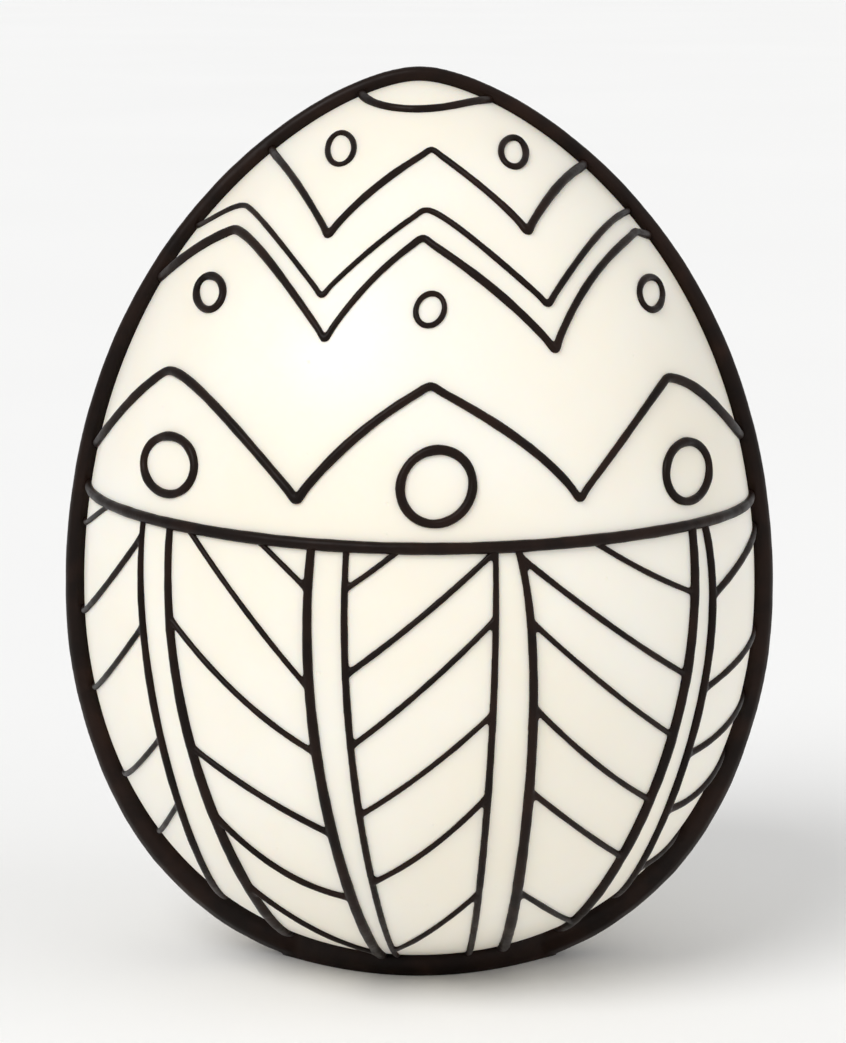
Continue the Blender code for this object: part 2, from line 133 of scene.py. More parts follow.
@dataclass(frozen=True)
class EggForm:
    """The shell's outline: two cubic curves, from the tip to the widest place and from there to the base."""

    radius: float = 0.0519
    top: float = 0.1372
    bottom: float = 0.0021
    widest: float = 0.0592
    tip_spread: float = 0.24
    shoulder_rise: float = 0.70
    flank_drop: float = 0.49
    base_spread: float = 0.70
    fine_steps: int = 400

    def profile(self, steps: int) -> np.ndarray:
        """Works out (radius, height) points from the tip to the middle of the base.

        Args:
            steps: The number of steps along each of the two curves.

        Returns:
            An array of points, one row each.
        """
        shoulder = blend(self.widest, self.top, self.shoulder_rise)
        flank = blend(self.widest, self.bottom, self.flank_drop)
        side = (self.radius, self.widest)
        upper = ((0, self.top), (self.tip_spread * self.radius, self.top), (self.radius, shoulder), side)
        lower = (side, (self.radius, flank), (self.base_spread * self.radius, self.bottom), (0, self.bottom))
        t = np.linspace(0.0, 1.0, steps + 1)[:, None]
        weights = np.hstack([(1 - t) ** 3, 3 * t * (1 - t) ** 2, 3 * t**2 * (1 - t), t**3])
        return np.vstack([weights @ np.array(upper), (weights @ np.array(lower))[1:]])

    @cached_property
    def fine(self) -> np.ndarray:
        """Gives the outline in fine steps."""
        return self.profile(self.fine_steps)

    def surface(self, angles: np.ndarray, heights: np.ndarray) -> tuple[np.ndarray, np.ndarray]:
        """Works out points of the shell and the outward normals there.

        Args:
            angles: Angles round the egg, in degrees.
            heights: Heights above the floor.

        Returns:
            The points and the normals, one row each.
        """
        radii, heights_down = self.fine.T
        slopes = np.gradient(np.stack([radii, heights_down]), axis=1)
        slopes /= np.linalg.norm(slopes, axis=0)
        rising = heights_down[::-1]
        radius = np.interp(heights, rising, radii[::-1])
        across = np.interp(heights, rising, -slopes[1][::-1])
        up = np.interp(heights, rising, slopes[0][::-1])
        turns = np.radians(angles)
        outward = np.stack([np.sin(turns), -np.cos(turns), np.zeros_like(turns)], axis=1)
        points = outward * radius[:, None]
        points[:, 2] = heights
        normals = outward * across[:, None]
        normals[:, 2] = up
        return points, normals

    def radius_at(self, heights: np.ndarray | float) -> np.ndarray:
        """Gives the shell's radius at each height."""
        radii, heights_down = self.fine.T
        return np.interp(heights, heights_down[::-1], radii[::-1])

    def underside_at(self, radii: np.ndarray) -> np.ndarray:
        """Gives the height of the shell's underside at each distance from the axis."""
        known, heights = self.fine[len(self.fine) // 2 :].T
        return np.interp(radii, known[::-1], heights[::-1])

    def reach(self, path: np.ndarray) -> np.ndarray:
        """Measures how far along a path each of its stations is.

        Args:
            path: Stations that start with angle and height.

        Returns:
            The distances from the first station.
        """
        points, _ = self.surface(path[:, 0], path[:, 1])
        steps = np.linalg.norm(np.diff(points, axis=0), axis=1)
        return np.concatenate([[0.0], np.cumsum(steps)])

    def spaced(self, path: np.ndarray, step: float) -> np.ndarray:
        """Resamples a path at even steps.

        Args:
            path: The (angle, height, width) stations.
            step: The distance wanted between stations.

        Returns:
            The new stations.
        """
        reach = self.reach(path)
        count = max(2, round(reach[-1] / step))
        goals = np.linspace(0.0, reach[-1], count + 1)
        return np.stack([np.interp(goals, reach, column) for column in path.T], axis=1)


FORM = EggForm()


class Circle(NamedTuple):
    """A line round the egg: its height at the front, four terms in the sine of the angle, and its width.

    The narrowing is the share of the width that it loses on its way to the seam.
    """

    height: float
    lift: float
    droop: float
    tilt: float
    twist: float
    width: float
    narrowing: float

    def height_at(self, angles: np.ndarray) -> np.ndarray:
        """Works out the line's height at each angle.

        Args:
            angles: Angles round the egg, in degrees.

        Returns:
            The heights above the floor.
        """
        aside = np.sin(np.radians(angles))
        even = self.height + self.lift * aside**2 + self.droop * aside**4
        return even + self.tilt * aside + self.twist * aside**3

    def path(self, angles: np.ndarray) -> np.ndarray:
        """Gives the line's stations, narrower towards the seam."""
        widths = self.width * (1 - self.narrowing * np.sin(np.radians(angles)) ** 4)
        return np.stack([angles, self.height_at(angles), widths], axis=1)


BELT = Circle(0.07330, 0.00183, -0.00071, -0.00036, -0.00049, 0.0019, 0.18)
CAP = Circle(0.13330, 0.00227, -0.00099, 0.00018, -0.00061, 0.0014, 0.0)


class Recipe:
    """A procedural material, built node by node on Object coordinates."""

    def __init__(self, name: str) -> None:
        """Starts the material with its Principled shader."""
        self.material = bpy.data.materials.new(name)
        self.material.use_nodes = True
        self.nodes = self.material.node_tree.nodes
        self.links = self.material.node_tree.links
        self.shader = self.nodes["Principled BSDF"]
        self.place = self.nodes.new("ShaderNodeTexCoord").outputs["Object"]

    def set(self, **values: float | Colour) -> None:
        """Sets the shader's own sockets, named with underscores for spaces."""
        for name, value in values.items():
            self.shader.inputs[name.replace("_", " ")].default_value = value

    def noise(self, per_metre: float, detail: float = 3.0, distortion: float = 0.0) -> bpy.types.NodeSocket:
        """Adds a noise.

        Args:
            per_metre: About how many swells it has in each metre.
            detail: How many finer layers lie on them.
            distortion: How far it is warped.

        Returns:
            The noise's value, around a half.
        """
        node = self.nodes.new("ShaderNodeTexNoise")
        node.inputs["Scale"].default_value = per_metre
        node.inputs["Detail"].default_value = detail
        node.inputs["Distortion"].default_value = distortion
        self.links.new(self.place, node.inputs["Vector"])
        return node.outputs["Fac"]

    def pits(self, per_metre: float, size: float) -> bpy.types.NodeSocket:
        """Adds scattered round pits.

        Args:
            per_metre: About how many lie along each metre.
            size: A pit's reach, as a share of the space that it has.

        Returns:
            A value that is 0 in the middle of a pit and 1 outside it.
        """
        cells = self.nodes.new("ShaderNodeTexVoronoi")
        cells.inputs["Scale"].default_value = per_metre
        self.links.new(self.place, cells.inputs["Vector"])
        return self.spread(cells.outputs["Distance"], (0.0, size))

    def spread(
        self, source: bpy.types.NodeSocket, known: Range, wanted: Range = (0.0, 1.0)
    ) -> bpy.types.NodeSocket:
        """Maps a range of values onto another, held at its ends.

        Args:
            source: The values.
            known: The range that they are in.
            wanted: The range that they are to fill.

        Returns:
            The mapped values.
        """
        node = self.nodes.new("ShaderNodeMapRange")
        node.inputs["From Min"].default_value = known[0]
        node.inputs["From Max"].default_value = known[1]
        node.inputs["To Min"].default_value = wanted[0]
        node.inputs["To Max"].default_value = wanted[1]
        self.links.new(source, node.inputs["Value"])
        return node.outputs["Result"]

    def colours(self, share: bpy.types.NodeSocket, first: Colour, second: Colour) -> bpy.types.NodeSocket:
        """Mixes two colours.

        Args:
            share: The second colour's share, from 0 to 1.
            first: The colour where the share is 0.
            second: The colour where the share is 1.

        Returns:
            The mixed colour.
        """
        node = self.nodes.new("ShaderNodeMix")
        node.data_type = "RGBA"
        self.links.new(share, node.inputs["Factor"])
        colour_inputs = [socket for socket in node.inputs if socket.type == "RGBA"]
        colour_inputs[0].default_value = first
        colour_inputs[1].default_value = second
        return next(socket for socket in node.outputs if socket.type == "RGBA")

    def bump(
        self, height: bpy.types.NodeSocket, distance: float, under: bpy.types.NodeSocket | None = None
    ) -> bpy.types.NodeSocket:
        """Raises the surface in the shading.

        Args:
            height: The height, from 0 to 1.
            distance: The rise at height 1.
            under: The normal of the bumps that these lie on, if there are any.

        Returns:
            The bump's normal output.
        """
        node = self.nodes.new("ShaderNodeBump")
        node.inputs["Strength"].default_value = 1.0
        node.inputs["Distance"].default_value = distance
        self.links.new(height, node.inputs["Height"])
        if under is not None:
            self.links.new(under, node.inputs["Normal"])
        return node.outputs["Normal"]

    def feed(self, source: bpy.types.NodeSocket, name: str) -> None:
        """Links a value to one of the shader's sockets."""
        self.links.new(source, self.shader.inputs[name])


@dataclass(frozen=True)
class WhiteChocolate:
    """Ivory white chocolate from a polished mould: satin, a little see-through, with faint swells."""

    pale: Colour = (0.93, 0.89, 0.80, 1.0)
    creamy: Colour = (0.91, 0.85, 0.725, 1.0)
    clouds_per_metre: float = 26.0
    cloud_edges: Range = (0.36, 0.66)
    roughness: Range = (0.30, 0.44)
    patches_per_metre: float = 60.0
    swells_per_metre: float = 42.0
    swell_height: float = 0.00016
    grains_per_metre: float = 900.0
    grain_height: float = 0.000014
    pits_per_metre: float = 170.0
    pit_size: float = 0.055
    pit_depth: float = 0.00008
    ior: float = 1.46
    see_through: float = 0.30
    see_through_scale: float = 0.0022
    see_through_radii: tuple[float, float, float] = (1.0, 0.72, 0.42)

    def material(self) -> bpy.types.Material:
        """Builds the material.

        Returns:
            The finish, ready for a piece.
        """
        recipe = Recipe("white_chocolate_moulded")
        clouds = recipe.noise(self.clouds_per_metre, detail=4.0, distortion=0.6)
        shares = recipe.spread(clouds, self.cloud_edges)
        recipe.feed(recipe.colours(shares, self.pale, self.creamy), "Base Color")
        patches = recipe.noise(self.patches_per_metre, detail=5.0)
        recipe.feed(recipe.spread(patches, NOISE_SPAN, self.roughness), "Roughness")
        swells = recipe.bump(recipe.noise(self.swells_per_metre, detail=2.0), self.swell_height)
        grain = recipe.bump(recipe.noise(self.grains_per_metre, detail=4.0), self.grain_height, swells)
        pits = recipe.bump(recipe.pits(self.pits_per_metre, self.pit_size), self.pit_depth, grain)
        recipe.feed(pits, "Normal")
        recipe.set(IOR=self.ior, Subsurface_Weight=self.see_through, Subsurface_Scale=self.see_through_scale)
        recipe.set(Subsurface_Radius=self.see_through_radii)
        return recipe.material


@dataclass(frozen=True)
class DarkChocolate:
    """Piped dark chocolate, nearly black: satin where it set smooth, duller where it set slowly."""

    black: Colour = (0.0065, 0.0032, 0.0021, 1.0)
    brown: Colour = (0.0170, 0.0075, 0.0045, 1.0)
    clouds_per_metre: float = 140.0
    cloud_edges: Range = (0.38, 0.68)
    roughness: Range = (0.32, 0.50)
    patches_per_metre: float = 220.0
    swells_per_metre: float = 320.0
    swell_height: float = 0.00009
    grains_per_metre: float = 2200.0
    grain_height: float = 0.000012
    ior: float = 1.42
    shine: float = 0.15

    def material(self) -> bpy.types.Material:
        """Builds the material.

        Returns:
            The finish, ready for a piece.
        """
        recipe = Recipe("dark_chocolate_piped")
        clouds = recipe.noise(self.clouds_per_metre, detail=4.0, distortion=0.4)
        shares = recipe.spread(clouds, self.cloud_edges)
        recipe.feed(recipe.colours(shares, self.black, self.brown), "Base Color")
        patches = recipe.noise(self.patches_per_metre, detail=4.0)
        recipe.feed(recipe.spread(patches, NOISE_SPAN, self.roughness), "Roughness")
        swells = recipe.bump(recipe.noise(self.swells_per_metre, detail=2.0), self.swell_height)
        grain = recipe.bump(recipe.noise(self.grains_per_metre, detail=3.0), self.grain_height, swells)
        recipe.feed(grain, "Normal")
        recipe.set(IOR=self.ior, Specular_IOR_Level=self.shine)
        return recipe.material


@dataclass(frozen=True)
class PaleFloor:
    """A plain, nearly white tabletop."""

    pale: Colour = (0.955, 0.955, 0.95, 1.0)
    paler: Colour = (0.97, 0.97, 0.965, 1.0)
    clouds_per_metre: float = 3.0
    roughness: float = 0.75
    shine: float = 0.25

    def material(self) -> bpy.types.Material:
        """Builds the material.

        Returns:
            The finish, ready for a piece.
        """
        recipe = Recipe("pale_floor")
        shares = recipe.spread(recipe.noise(self.clouds_per_metre, detail=2.0), NOISE_SPAN)
        recipe.feed(recipe.colours(shares, self.pale, self.paler), "Base Color")
        recipe.set(Roughness=self.roughness, Specular_IOR_Level=self.shine)
        return recipe.material


class Bead(NamedTuple):
    """One piped line: its stations on the shell, which start with angle and height, and its half widths."""

    path: np.ndarray
    half_widths: np.ndarray
    closed: bool = False


class Rib(NamedTuple):
    """A line from the belt to the foot or the seam, bent by a pull on its way."""

    top: tuple[float, float, float]
    pull: tuple[float, float, float]
    end: tuple[float, float, float]


class Swell(NamedTuple):
    """A place where a line is wider: its share of the way along, the extra share of width, and its reach."""

    at: float
    extra: float
    reach: float = 0.0013


class Hand:
    """The unevenness of a hand that pipes, the same on every run."""

    waves_and_weights = ((1.0, 0.5), (2.3, 0.3), (4.1, 0.2))

    def __init__(self, seed: int) -> None:
        """Starts the hand's own row of draws."""
        self.draws = random.Random(seed)

    def waves(self, reach: np.ndarray, wavelength: float, closed: bool = False) -> np.ndarray:
        """Draws a slow wander between about -1 and 1 along a line.

        Args:
            reach: The distance of each station along the line.
            wavelength: The length of its longest wave.
            closed: Whether the line's end meets its start.

        Returns:
            The wander at each station.
        """
        total = np.zeros_like(reach)
        for order, weight in self.waves_and_weights:
            turns = reach / wavelength * order
            if closed:
                turns = reach / reach[-1] * max(1, round(reach[-1] / wavelength * order))
            total += weight * np.sin(math.tau * (turns + self.draws.random()))
        return total


class Pattern:
    """Works out the paths of the piped lines. Each front-view point is (across, height, width).

    like_steps are an angle in degrees and a height that count alike where distances are compared.
    """

    station_step = 0.0004
    stray_angle = 2.0
    stray_height = 0.0008
    stray_waves_up = 1.5
    stray_waves_round = 3
    corner_hold = 0.0012
    like_steps = (1.0, 0.001)
    bend_steps = 80
    wavelength = 0.013

    def __init__(self, seed: int) -> None:
        """Gives the pattern its own hand."""
        self.hand = Hand(seed)

    def bend(self, points: tuple) -> np.ndarray:
        """Gives front-view points from the first to the third of three points, bent towards the second."""
        t = np.linspace(0.0, 1.0, self.bend_steps + 1)[:, None]
        return np.hstack([(1 - t) ** 2, 2 * t * (1 - t), t**2]) @ np.array(points)

    def onto_shell(self, points: np.ndarray) -> np.ndarray:
        """Lays front-view points onto the shell and cuts them off at the seam.

        Args:
            points: The (across, height, width) points.

        Returns:
            The (angle, height, width) stations, of which only the first and the last may lie on the seam.
        """
        shares = np.clip(points[:, 0] / FORM.radius_at(points[:, 1]), -1.0, 1.0)
        on_seam = np.abs(shares) >= 1.0
        first, last = 0, len(points) - 1
        while first < last and on_seam[first + 1]:
            first += 1
        while last > first and on_seam[last - 1]:
            last -= 1
        stations = np.column_stack([np.degrees(np.arcsin(shares)), points[:, 1:]])
        return stations[first : last + 1]

    def zigzag(self, points: tuple[tuple[float, float, float], ...]) -> tuple[np.ndarray, list[Swell]]:
        """Joins bent legs into a row and rounds its corners, the peaks more than the valleys.

        Args:
            points: A corner, the pull that bends the leg, the next corner and so on, in front view.

        Returns:
            The row's stations, and the swells that settle at its corners.
        """
        legs = [self.onto_shell(self.bend(points[i : i + 3])) for i in range(0, len(points) - 2, 2)]
        path = FORM.spaced(np.vstack([legs[0], *[leg[1:] for leg in legs[1:]]]), self.station_step)
        reach = FORM.reach(path)
        swells = []
        for before, leg in zip(legs, legs[1:]):
            corner = leg[0]
            turn = Corner.PEAK if corner[1] > before[len(before) // 2][1] else Corner.VALLEY
            passes, kept, extra = turn.value
            nearest = np.argmin(np.linalg.norm((path - corner)[:, :2] / self.like_steps, axis=1))
            hold = np.exp(-(((reach - reach[nearest]) / self.corner_hold) ** 2))[:, None]
            for _ in range(passes):
                path[1:-1] += hold[1:-1] * ((path[:-2] + path[2:]) / 2 - path[1:-1])
            path += hold * kept * (corner - path[nearest])
            swells.append(Swell(reach[nearest] / reach[-1], extra))
        return path, swells

    def to_back(self, path: np.ndarray) -> np.ndarray:
        """Gives the same line on the back, where the hand strays in slow waves, but not on the seam.

        Args:
            path: The line's stations on the front.

        Returns:
            Its stations on the back.
        """
        turns = np.radians(path[:, 0])
        facing = np.cos(turns)
        stray = self.stray_angle * np.sin(self.stray_waves_up * math.tau * path[:, 1] / FORM.top)
        lift = self.stray_height * np.sin(self.stray_waves_round * turns)
        return np.column_stack([180 - path[:, 0] - stray * facing, path[:, 1] + lift * facing, path[:, 2]])

    def bead(
        self,
        path: np.ndarray,
        uneven: float = 0.06,
        closed: bool = False,
        swells: list[Swell] | tuple[Swell, ...] = (),
    ) -> Bead:
        """Gives a path its half widths, uneven along it and swollen where the hand paused.

        Args:
            path: The line's (angle, height, width) stations.
            uneven: The share by which the width varies.
            closed: Whether the line's end meets its start.
            swells: The places where the hand paused.

        Returns:
            The bead.
        """
        reach = FORM.reach(path)
        shares = 1 + uneven * self.hand.waves(reach, self.wavelength, closed)
        for swell in swells:
            shares += swell.extra * np.exp(-(((reach - swell.at * reach[-1]) / swell.reach) ** 2))
        return Bead(path, path[:, 2] / 2 * shares, closed)


class Piece(ABC):
    """A finished piece of the egg: its mesh, its finish and the body that it rides on."""

    name: str
    slot: Slot

    @abstractmethod
    def mesh(self) -> bpy.types.Object:
        """Builds the piece's object."""

    def place(self, material: bpy.types.Material) -> bpy.types.Object:
        """Builds the piece, dresses it and ties it to the frame.

        Args:
            material: The piece's finish.

        Returns:
            The finished object.
        """
        piece = self.mesh()
        piece.name = self.name
        piece.data.name = self.name
        piece.data.materials.clear()
        piece.data.materials.append(material)
        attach(piece, BODY)
        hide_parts(NODE)
        LOG.info("%s: %d faces", self.name, len(piece.data.polygons))
        return piece


@dataclass
class Shell(Piece):
    """The moulded shell, a smooth egg with faint swells."""

    name: str = "shell"
    slot: Slot = Slot.WHITE
    steps_up: int = 64
    steps_round: int = 176
    swell: float = 0.00014
    swell_size: float = 0.024
    swell_level: float = 0.85

    def mesh(self) -> bpy.types.Object:
        """Turns the outline and lets it swell a little.

        Returns:
            The shell's object.
        """
        shell = turned(self.name, [tuple(point) for point in FORM.profile(self.steps_up)], self.steps_round)
        clouds = bpy.data.textures.new("shell_swells", "CLOUDS")
        clouds.noise_scale = self.swell_size
        settings = {"texture": clouds, "texture_coords": "LOCAL", "mid_level": self.swell_level}
        apply_modifier(shell, "DISPLACE", strength=self.swell, **settings)
        bpy.ops.object.shade_smooth()
        return shell


@dataclass
class Piping(Piece):
    """Piped lines melted into each other where they meet.

    A tube's radius is its line's half width times the fullness, plus what the smoothing then takes off. Its
    middle lies above the shell by the line's width times the lift.
    """

    name: str = "piping"
    slot: Slot = Slot.DARK
    seed: int = 1
    voxel: float = 0.00023
    lift: float = 0.04
    fullness: float = 0.85
    smoothing_loss: float = 0.000125
    smoothing: int = 3
    smoothing_share: float = 0.5
    tube_resolution: int = 3
    most_triangles: int = 190_000
    pattern: Pattern = field(init=False)

    def __post_init__(self) -> None:
        """Starts the pattern."""
        self.pattern = Pattern(self.seed)

    @abstractmethod
    def beads(self) -> list[Bead]:
        """Gives the lines of this piece."""

    def both_sides(self, path: np.ndarray, **bead: float | bool | list[Swell]) -> list[Bead]:
        """Gives a line on the front and its like on the back."""
        return [self.pattern.bead(side, **bead) for side in (path, self.pattern.to_back(path))]

    def centres(self, bead: Bead) -> np.ndarray:
        """Works out the middle line of a bead, a little above the shell."""
        points, normals = FORM.surface(bead.path[:, 0], bead.path[:, 1])
        return points + normals * (bead.half_widths * 2 * self.lift)[:, None]

    def tubes(self) -> bpy.types.Object:
        """Builds each bead as a round tube of its own width, joined into one mesh.

        Returns:
            The tubes' object, which is the active one.
        """
        deselect_all()
        bpy.ops.object.add(type="CURVE")
        tubes = bpy.context.object
        tubes.data.dimensions = "3D"
        tubes.data.bevel_depth = 1.0
        tubes.data.bevel_resolution = self.tube_resolution
        tubes.data.use_fill_caps = True
        for bead in self.beads():
            centres = self.centres(bead)
            half_widths = bead.half_widths * self.fullness + self.smoothing_loss
            if bead.closed:
                centres = centres[:-1]
                half_widths = half_widths[:-1]
            spline = tubes.data.splines.new("POLY")
            spline.points.add(len(centres) - 1)
            spline.points.foreach_set("co", np.hstack([centres, np.ones((len(centres), 1))]).ravel())
            spline.points.foreach_set("radius", half_widths)
            spline.use_cyclic_u = bead.closed
        bpy.ops.object.convert(target="MESH")
        return bpy.context.object

    def melt(self, obj: bpy.types.Object) -> None:
        """Melts bodies into one skin, smooths it, and thins it where it has too many faces.

        Args:
            obj: The active object, with the bodies in its mesh.
        """
        apply_modifier(obj, "REMESH", mode="VOXEL", voxel_size=self.voxel)
        apply_modifier(obj, "SMOOTH", factor=self.smoothing_share, iterations=self.smoothing)
        triangles = 2 * len(obj.data.polygons)
        if triangles > self.most_triangles:
            apply_modifier(obj, "DECIMATE", ratio=self.most_triangles / triangles)
        bpy.ops.object.shade_smooth()

    def mesh(self) -> bpy.types.Object:
        """Builds the tubes and melts them together.

        Returns:
            The object of the piped lines.
        """
        piped = self.tubes()
        self.melt(piped)
        return piped


@dataclass
class Border(Piping):
    """The rope over the seam of the two half shells, settled into a flat foot under the egg.

    It stands out by the at_ sizes. Rope and foot reach a little below the floor and are cut flat on it.
    """

    name: str = "border"
    voxel: float = 0.00034
    fullness: float = 1.0
    smoothing_loss: float = 0.0
    smoothing: int = 9
    at_tip: float = 0.0022
    at_side: float = 0.0032
    at_flank: float = 0.0037
    at_base: float = 0.0059
    flank_height: float = 0.0350
    roundness: float = 0.6
    end_height: float = 0.0043
    rope_sunk: float = 0.0004
    rope_steps: int = 150
    uneven: float = 0.018
    wavelength: float = 0.016
    foot_half_length: float = 0.0216
    foot_half_width: float = 0.0122
    foot_narrowing: float = 2.1
    foot_bulge: float = 0.0008
    foot_lap: float = 0.0004
    foot_core: float = 0.0062
    foot_sunk: float = 0.0016
    foot_sides: int = 96
    foot_steps: int = 8

    def reach_out(self, heights: np.ndarray) -> np.ndarray:
        """Gives how far the border stands out from the shell at each height.

        Args:
            heights: Heights above the floor.

        Returns:
            The border's reach at each of them.
        """
        marks = (FORM.bottom, self.flank_height, FORM.widest, FORM.top)
        reaches = (self.at_base, self.at_flank, self.at_side, self.at_tip)
        return np.minimum(np.interp(heights, marks, reaches), heights + self.rope_sunk)

    def beads(self) -> list[Bead]:
        """Runs the rope up one side, over the tip and down the other.

        Returns:
            The rope's one bead.
        """
        _, heights = FORM.profile(self.rope_steps).T
        heights = heights[heights > self.end_height]
        left = np.stack([np.full_like(heights, -SEAM_ANGLE), heights], axis=1)[::-1]
        right = np.stack([np.full_like(heights, SEAM_ANGLE), heights], axis=1)[1:]
        path = np.vstack([left, right])
        half_widths = self.roundness * self.reach_out(path[:, 1])
        reach = FORM.reach(path)
        waves = self.pattern.hand.waves(reach, self.wavelength)
        return [Bead(path, half_widths * (1 - self.uneven * (1 + waves)), False)]

    def centres(self, bead: Bead) -> np.ndarray:
        """Works out the middle line of the rope, which lies on the seam.

        Args:
            bead: The rope.

        Returns:
            The points of its middle line, one row each.
        """
        points, normals = FORM.surface(bead.path[:, 0], bead.path[:, 1])
        out = self.reach_out(bead.path[:, 1]) * (1 - self.roundness)
        return points + normals * out[:, None]

    def foot(self) -> bpy.types.Object:
        """Builds the puddle under the egg, pointed at both ends and sunk a little into the floor.

        Returns:
            Its object, a closed mesh.
        """
        turns = np.linspace(0.0, math.tau, self.foot_sides, endpoint=False)
        ahead = np.sign(np.cos(turns)) * np.abs(np.cos(turns)) ** self.foot_narrowing
        outline = np.stack([self.foot_half_length * np.sin(turns), -self.foot_half_width * ahead], axis=1)
        radii = np.linalg.norm(outline, axis=1, keepdims=True)
        lip = FORM.underside_at(radii) + self.foot_lap
        rings = [np.hstack([outline, np.full_like(lip, -self.foot_sunk)])]
        for turn in np.linspace(0.0, math.pi, self.foot_steps + 1):
            swollen = outline * (1 + self.foot_bulge * math.sin(turn) / radii)
            rings.append(np.hstack([swollen, lip * (1 - math.cos(turn)) / 2]))
        rings.append(np.hstack([outline / 2, np.full_like(lip, self.foot_core)]))
        count = self.foot_sides
        faces = [list(range(count))[::-1], [(len(rings) - 1) * count + side for side in range(count)]]
        for ring in range(len(rings) - 1):
            for side in range(count):
                a, b = ring * count + side, ring * count + (side + 1) % count
                faces.append([a, b, b + count, a + count])
        mesh = bpy.data.meshes.new("foot")
        mesh.from_pydata(np.vstack(rings).tolist(), [], faces)
        foot = bpy.data.objects.new("foot", mesh)
        bpy.context.scene.collection.objects.link(foot)
        return foot

    def mesh(self) -> bpy.types.Object:
        """Builds the rope and the foot, melts them together and cuts the foot flat on the floor.

        Returns:
            The border's object.
        """
        foot = self.foot()
        rope = self.tubes()
        foot.select_set(True)
        bpy.ops.object.join()
        self.melt(rope)
        bpy.ops.object.mode_set(mode="EDIT")
        bpy.ops.mesh.select_all(action="SELECT")
        bpy.ops.mesh.bisect(
            plane_co=(0, 0, 0), plane_no=(0, 0, 1), use_fill=True, clear_inner=True, threshold=0.0
        )
        bpy.ops.object.mode_set(mode="OBJECT")
        return rope


@dataclass
class Band(Piping):
    """A line all the way round the egg."""

    circle: Circle = BELT
    uneven: float = 0.05
    stations: int = 721

    def beads(self) -> list[Bead]:
        """Runs one line all the way round."""
        path = self.circle.path(np.linspace(0.0, 360.0, self.stations))
        return [self.pattern.bead(path, uneven=self.uneven, closed=True)]


@dataclass
class Zigzags(Piping):
    """Four rows of zigzags, each carried on round the back."""

    name: str = "zigzags"
    seed: int = 5

    def beads(self) -> list[Bead]:
        """Pipes each row, front and back, from its corners and the pulls that bend the legs between them.

        Returns:
            The beads of all rows.
        """
        rows = (
            (
                (-0.0230, 0.1269, 0.00125),
                (-0.0190, 0.1254, 0.00113),
                (-0.0132, 0.1161, 0.00102),
                (-0.0075, 0.1229, 0.00140),
                (0.0019, 0.1279, 0.00098),
                (0.0114, 0.1216, 0.00111),
                (0.0158, 0.1165, 0.00125),
                (0.0215, 0.1251, 0.00160),
                (0.0260, 0.1243, 0.00150),
            ),
            (
                (-0.0339, 0.1149, 0.00095),
                (-0.0282, 0.1189, 0.00095),
                (-0.0264, 0.1192, 0.00085),
                (-0.0248, 0.1203, 0.00082),
                (-0.0141, 0.1079, 0.00077),
                (-0.0062, 0.1156, 0.00077),
                (0.0008, 0.1197, 0.00086),
                (0.0034, 0.1201, 0.00096),
                (0.0187, 0.1065, 0.00096),
                (0.0284, 0.1197, 0.00115),
                (0.0325, 0.1170, 0.00100),
            ),
            (
                (-0.0401, 0.1062, 0.00175),
                (-0.0336, 0.1133, 0.00210),
                (-0.0272, 0.1159, 0.00155),
                (-0.0238, 0.1157, 0.00140),
                (-0.0135, 0.1020, 0.00095),
                (-0.0073, 0.1111, 0.00092),
                (0.0005, 0.1159, 0.00108),
                (0.0120, 0.1090, 0.00156),
                (0.0196, 0.1003, 0.00115),
                (0.0244, 0.1115, 0.00117),
                (0.0325, 0.1148, 0.00130),
                (0.0357, 0.1136, 0.00160),
                (0.0386, 0.1100, 0.00160),
            ),
            (
                (-0.0504, 0.0802, 0.00150),
                (-0.0436, 0.0910, 0.00170),
                (-0.0374, 0.0955, 0.00140),
                (-0.0340, 0.0979, 0.00150),
                (-0.0175, 0.0797, 0.00138),
                (-0.0096, 0.0900, 0.00160),
                (0.0016, 0.0958, 0.00122),
                (0.0175, 0.0877, 0.00160),
                (0.0230, 0.0795, 0.00105),
                (0.0360, 0.0950, 0.00120),
                (0.0366, 0.0948, 0.00145),
                (0.0423, 0.0938, 0.00200),
                (0.0509, 0.0803, 0.00160),
            ),
        )
        found = []
        for points in rows:
            path, swells = self.pattern.zigzag(points)
            found += self.both_sides(path, swells=swells)
        return found


@dataclass
class Rings(Piping):
    """Piped ovals above the belt, each closed at its top."""

    name: str = "rings"
    seed: int = 6
    voxel: float = 0.00020
    uneven: float = 0.10
    closing_swell: float = 0.12
    stations: int = 97

    def beads(self) -> list[Bead]:
        """Pipes each oval from its centre, half width, half height, rise to the right and line.

        Returns:
            The beads of all rings, front and back.
        """
        ovals = (
            (-0.0116, 0.1278, 0.00196, 0.00212, 0.11, 0.00085),
            (0.0140, 0.1272, 0.00186, 0.00193, -0.10, 0.00103),
            (-0.0308, 0.1071, 0.00207, 0.00227, 0.13, 0.00120),
            (0.0016, 0.1062, 0.00206, 0.00216, 0.15, 0.00078),
            (0.0344, 0.1065, 0.00185, 0.00216, -0.17, 0.00105),
            (-0.0365, 0.0827, 0.00394, 0.00407, 0.10, 0.00135),
            (0.0025, 0.0819, 0.00516, 0.00513, 0.06, 0.00140),
            (0.0394, 0.0813, 0.00343, 0.00420, -0.10, 0.00135),
        )
        found = []
        turns = np.linspace(0.0, math.tau, self.stations) + math.pi / 2
        closing = [Swell(0.0, self.closing_swell), Swell(1.0, self.closing_swell)]
        for across, height, half_width, half_height, rise, line in ovals:
            aside = half_width * np.cos(turns)
            heights = height + half_height * np.sin(turns) + rise * aside
            points = np.stack([across + aside, heights, np.full_like(aside, line)], axis=1)
            path = self.pattern.onto_shell(points)
            found += self.both_sides(path, uneven=self.uneven, closed=True, swells=closing)
        return found


